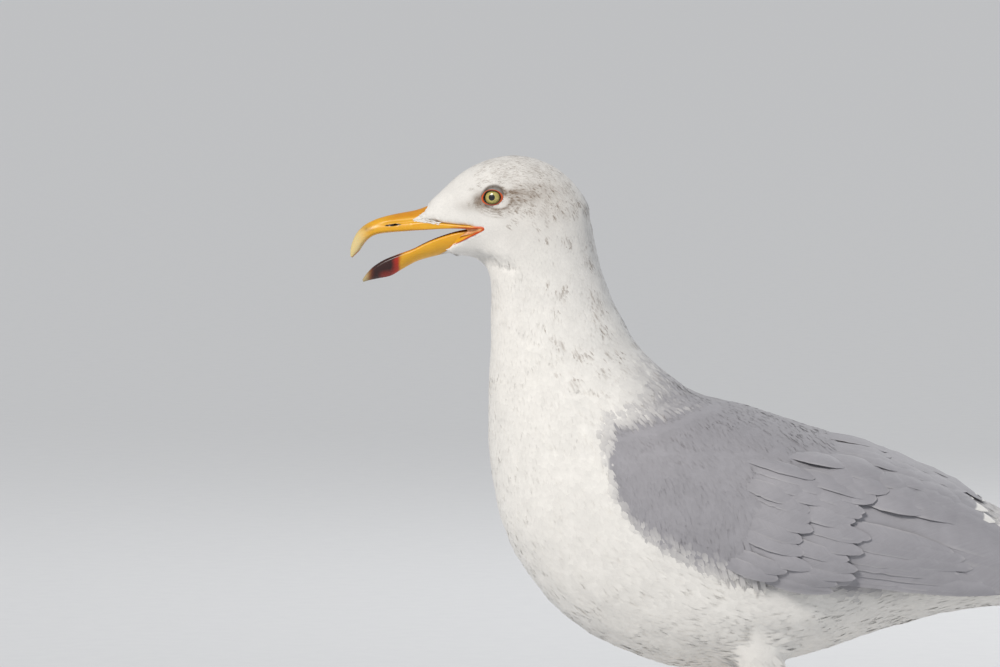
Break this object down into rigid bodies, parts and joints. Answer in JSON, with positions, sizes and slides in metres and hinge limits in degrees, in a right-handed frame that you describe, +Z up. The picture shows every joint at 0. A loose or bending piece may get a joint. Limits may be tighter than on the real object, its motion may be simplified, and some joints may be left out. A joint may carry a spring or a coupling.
{
  "type": "standing gull",
  "caption": "Life-size still model of a white-headed gull standing on both feet, neck raised and hooked bill open, wings folded over the tail.",
  "frame": {"origin": "on the floor, under the middle of the bird's length and breadth", "axes": "+X from bill to tail, so the bill points to -X; +Y to the bird's right; +Z up"},
  "size_m": [0.5646, 0.1516, 0.3961],
  "materials": {
    "plumage": "soft white feathers",
    "grey_plumage": "soft pale grey feathers",
    "flight_plumage": "black flight feathers with white tips",
    "bill_horn": "smooth yellow horn with a red spot and a black band",
    "mouth": "moist orange-red mouth lining",
    "eye": "wet pale yellow iris with a black pupil",
    "eyelid": "bare orange-red ring of skin",
    "leg_skin": "scaly yellow skin",
    "claw": "black horn"
  },
  "bodies": {
    "root": {"head": "plumage", "neck": "plumage", "torso": "plumage", "mantle": "grey_plumage", "wing_left": "grey_plumage", "wing_right": "grey_plumage", "primaries_left": "flight_plumage", "primaries_right": "flight_plumage", "tail": "plumage", "thigh_left": "plumage", "thigh_right": "plumage", "bill_upper": "bill_horn", "bill_lower": "bill_horn", "tongue": "mouth", "eye_left": "eye", "eye_right": "eye", "eyelid_left": "eyelid", "eyelid_right": "eyelid", "shank_left": "leg_skin", "shank_right": "leg_skin", "foot_left": "leg_skin", "foot_right": "leg_skin", "claw_inner_left": "claw", "claw_inner_right": "claw", "claw_middle_left": "claw", "claw_middle_right": "claw", "claw_outer_left": "claw", "claw_outer_right": "claw", "claw_hind_left": "claw", "claw_hind_right": "claw"}
  },
  "joints": []
}
